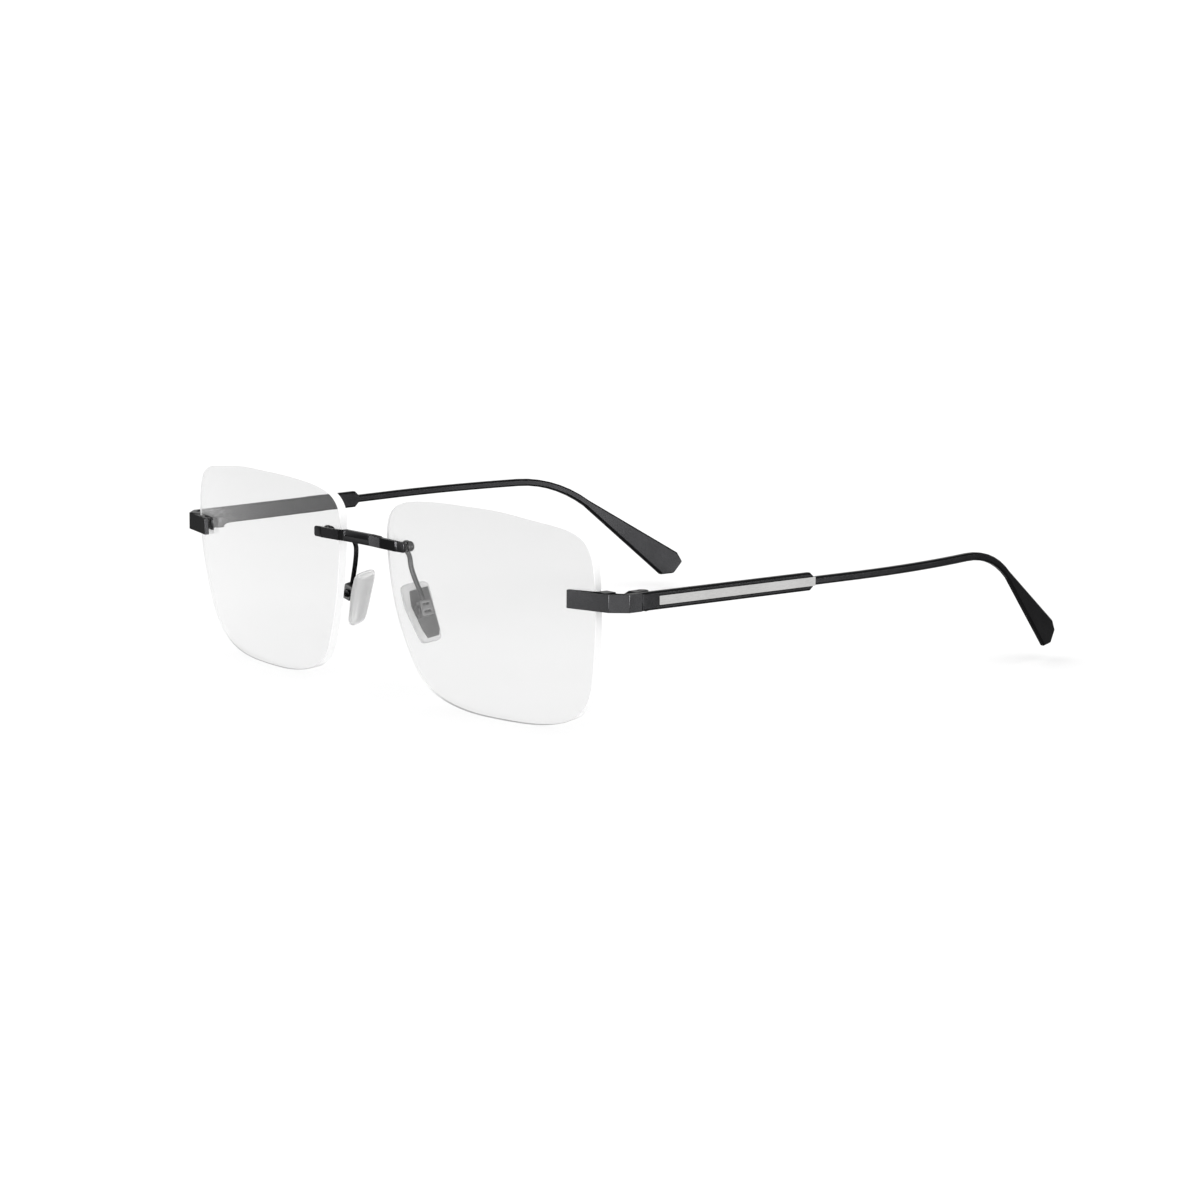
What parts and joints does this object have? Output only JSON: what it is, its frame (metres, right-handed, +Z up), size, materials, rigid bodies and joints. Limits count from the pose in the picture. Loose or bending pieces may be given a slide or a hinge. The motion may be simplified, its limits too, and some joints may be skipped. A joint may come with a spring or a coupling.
{
  "type": "rimless eyeglasses",
  "caption": "Rimless eyeglasses: drilled rounded rectangular lenses, a flat faceted bridge, silicone nose pads on wire arms and slim folding metal temples with a satin inlay.",
  "frame": {"origin": "the middle of the bridge's front face, midway between the two lenses", "axes": "+X towards the wearer's left, -Y forward out of the lens fronts, +Y back along the temples, +Z up"},
  "size_m": [0.1512, 0.1443, 0.0428],
  "materials": {
    "gunmetal": "matte dark gunmetal",
    "satin_nickel": "satin, brushed along its length",
    "core_metal": "matte grey plate seen through silicone",
    "clear_lens": "polished, clear",
    "clear_plastic": "clear sleeve",
    "silicone": "milky, soft sheen"
  },
  "bodies": {
    "front": {"lens_left": "clear_lens", "lens_right": "clear_lens", "bridge": "gunmetal", "bridge_bush_left": "clear_plastic", "bridge_bush_right": "clear_plastic", "bridge_stud_left": "gunmetal", "bridge_stud_right": "gunmetal", "bridge_nut_left": "gunmetal", "bridge_nut_right": "gunmetal", "pad_arm_left": "gunmetal", "pad_arm_right": "gunmetal", "pad_box_left": "gunmetal", "pad_box_right": "gunmetal", "pad_screw_left": "gunmetal", "pad_screw_right": "gunmetal", "endpiece_left": "gunmetal", "endpiece_right": "gunmetal", "endpiece_bush_left": "clear_plastic", "endpiece_bush_right": "clear_plastic", "endpiece_stud_left": "gunmetal", "endpiece_stud_right": "gunmetal", "clamp_plate_left": "gunmetal", "clamp_plate_right": "gunmetal", "endpiece_nut_left": "gunmetal", "endpiece_nut_right": "gunmetal", "hinge_screw_left": "gunmetal", "hinge_screw_right": "gunmetal"},
    "temple_left": {"temple_left": "gunmetal", "temple_inlay_left": "satin_nickel"},
    "temple_right": {"temple_right": "gunmetal", "temple_inlay_right": "satin_nickel"},
    "pad_left": {"pad_core_left": "core_metal", "nose_pad_left": "silicone"},
    "pad_right": {"pad_core_right": "core_metal", "nose_pad_right": "silicone"}
  },
  "joints": [
    {"name": "left_temple_fold", "type": "hinge", "parent": "front", "child": "temple_left", "pos_m": [0.06935, 0.016, -0.0046], "axis": [0, 0, 1], "range_deg": [0, 85]},
    {"name": "right_temple_fold", "type": "hinge", "parent": "front", "child": "temple_right", "pos_m": [-0.06935, 0.016, -0.0046], "axis": [0, 0, -1], "range_deg": [0, 81.5]},
    {"name": "left_pad_rock", "type": "hinge", "parent": "front", "child": "pad_left", "pos_m": [0.01272, 0.00866, -0.01304], "axis": [0.2166, 0.9695, 0.1145], "range_deg": [-9, 9]},
    {"name": "right_pad_rock", "type": "hinge", "parent": "front", "child": "pad_right", "pos_m": [-0.01272, 0.00866, -0.01304], "axis": [-0.2166, 0.9695, 0.1145], "range_deg": [-9, 9]}
  ]
}
